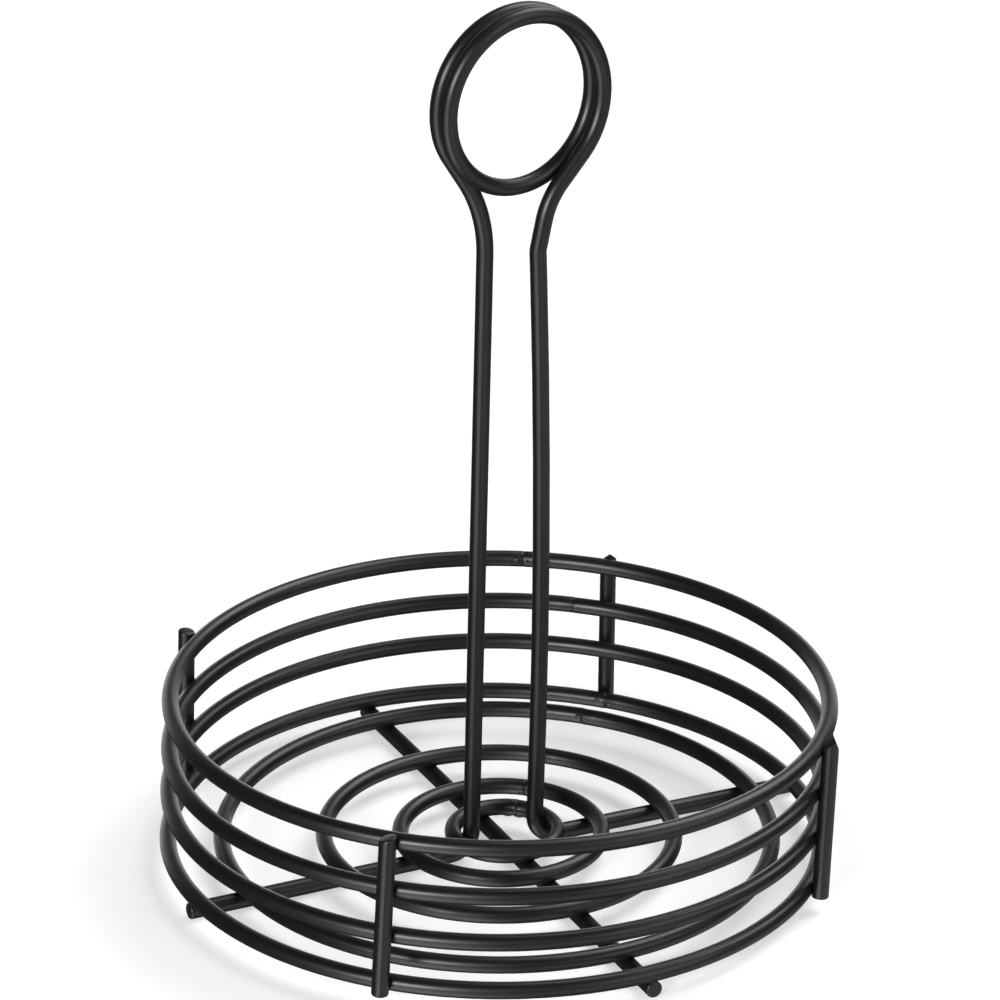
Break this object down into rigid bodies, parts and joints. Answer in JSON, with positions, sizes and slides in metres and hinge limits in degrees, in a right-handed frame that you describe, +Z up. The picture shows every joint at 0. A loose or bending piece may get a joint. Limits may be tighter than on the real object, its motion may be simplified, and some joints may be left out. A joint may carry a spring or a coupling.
{
  "type": "condiment caddy",
  "caption": "Round welded-wire condiment caddy: a low basket of stacked hoops with a ringed floor and one upright handle wire wound into a finger loop, coated satin black.",
  "frame": {"origin": "on the table, on the axis of the hoops, at the middle of the part's footprint", "axes": "+Z up along the axis of the hoops; +X along the handle's two floor runners, to the right seen from the front; +Y along the cross bar, to the back"},
  "size_m": [0.1906, 0.1906, 0.2539],
  "materials": {
    "black_powder_coat": "satin"
  },
  "bodies": {
    "root": {"bottom_hoop": "black_powder_coat", "lower_hoop": "black_powder_coat", "upper_hoop": "black_powder_coat", "top_hoop": "black_powder_coat", "outer_floor_ring": "black_powder_coat", "wide_floor_ring": "black_powder_coat", "narrow_floor_ring": "black_powder_coat", "centre_floor_ring": "black_powder_coat", "back_right_post": "black_powder_coat", "back_left_post": "black_powder_coat", "front_left_post": "black_powder_coat", "front_right_post": "black_powder_coat", "cross_bar": "black_powder_coat", "handle": "black_powder_coat"}
  },
  "joints": []
}
